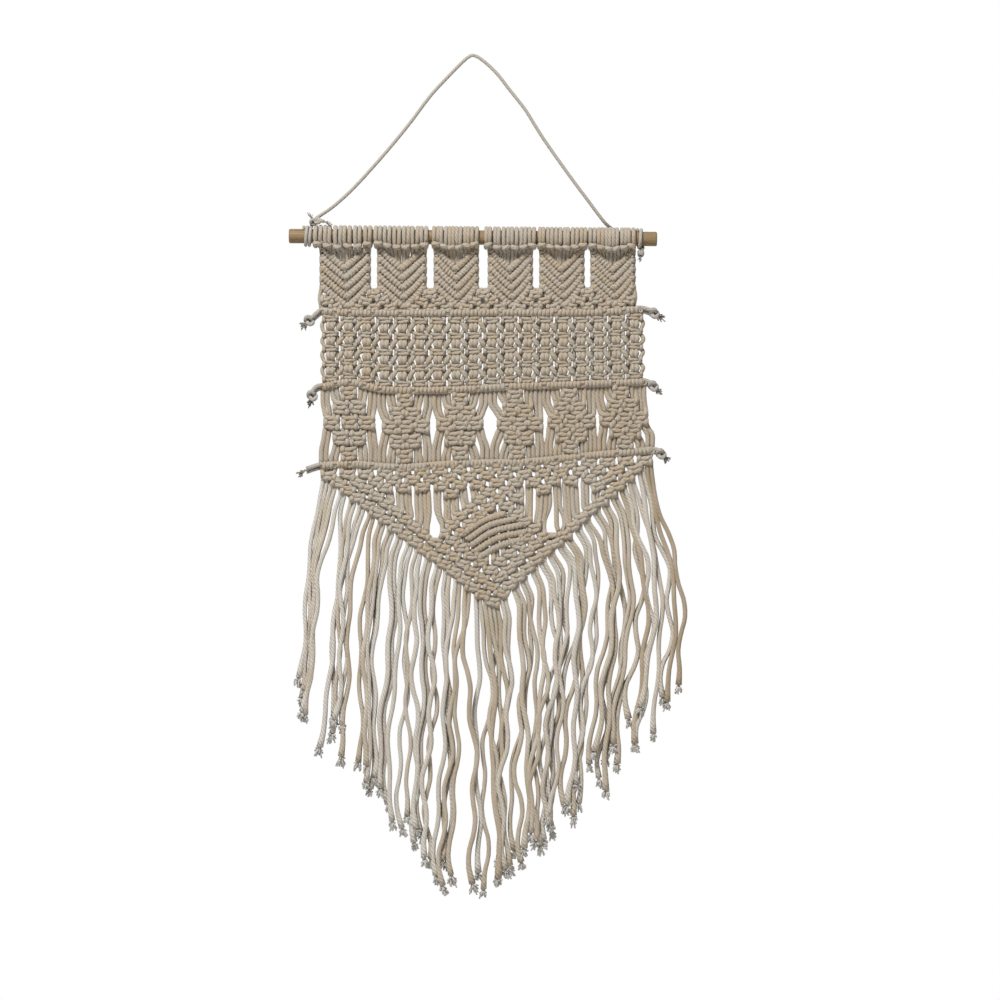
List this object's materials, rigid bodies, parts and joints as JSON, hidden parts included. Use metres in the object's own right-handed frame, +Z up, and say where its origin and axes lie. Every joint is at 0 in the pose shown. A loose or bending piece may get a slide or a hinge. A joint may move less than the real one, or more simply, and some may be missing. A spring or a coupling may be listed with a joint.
{
  "type": "macrame wall hanging on a wooden dowel",
  "caption": "Knotted cotton wall hanging on a wooden dowel, with ribbed tabs, a net band, diamonds, a V-shaped panel and a long pointed fringe, held up by a thin cord.",
  "frame": {"origin": "where the nail bears, under the top of the hanging cord", "axes": "+Z up, +X to the right along the dowel as seen from the front, -Y towards the room"},
  "size_m": [0.4011, 0.0284, 0.8676],
  "materials": {
    "dowel_wood": "bare, lightly sanded",
    "hanger_cotton": "thin twisted cotton cord",
    "cotton_cord": "undyed twisted cotton cord"
  },
  "bodies": {
    "root": {"dowel": "dowel_wood", "hanger_cord": "hanger_cotton", "tie_left": "hanger_cotton", "tie_right": "hanger_cotton", "heading_1": "cotton_cord", "heading_2": "cotton_cord", "heading_3": "cotton_cord", "heading_4": "cotton_cord", "heading_5": "cotton_cord", "heading_6": "cotton_cord", "tab_1": "cotton_cord", "tab_2": "cotton_cord", "tab_3": "cotton_cord", "tab_4": "cotton_cord", "tab_5": "cotton_cord", "tab_6": "cotton_cord", "join_1": "cotton_cord", "join_2": "cotton_cord", "join_3": "cotton_cord", "join_4": "cotton_cord", "join_5": "cotton_cord", "join_6": "cotton_cord", "join_7": "cotton_cord", "holding_cord_1": "cotton_cord", "holding_cord_2": "cotton_cord", "holding_cord_3": "cotton_cord", "net_band": "cotton_cord", "diamond_1": "cotton_cord", "diamond_2": "cotton_cord", "diamond_3": "cotton_cord", "diamond_4": "cotton_cord", "diamond_5": "cotton_cord", "diamond_6": "cotton_cord", "v_panel": "cotton_cord", "fringe": "cotton_cord"}
  },
  "joints": []
}
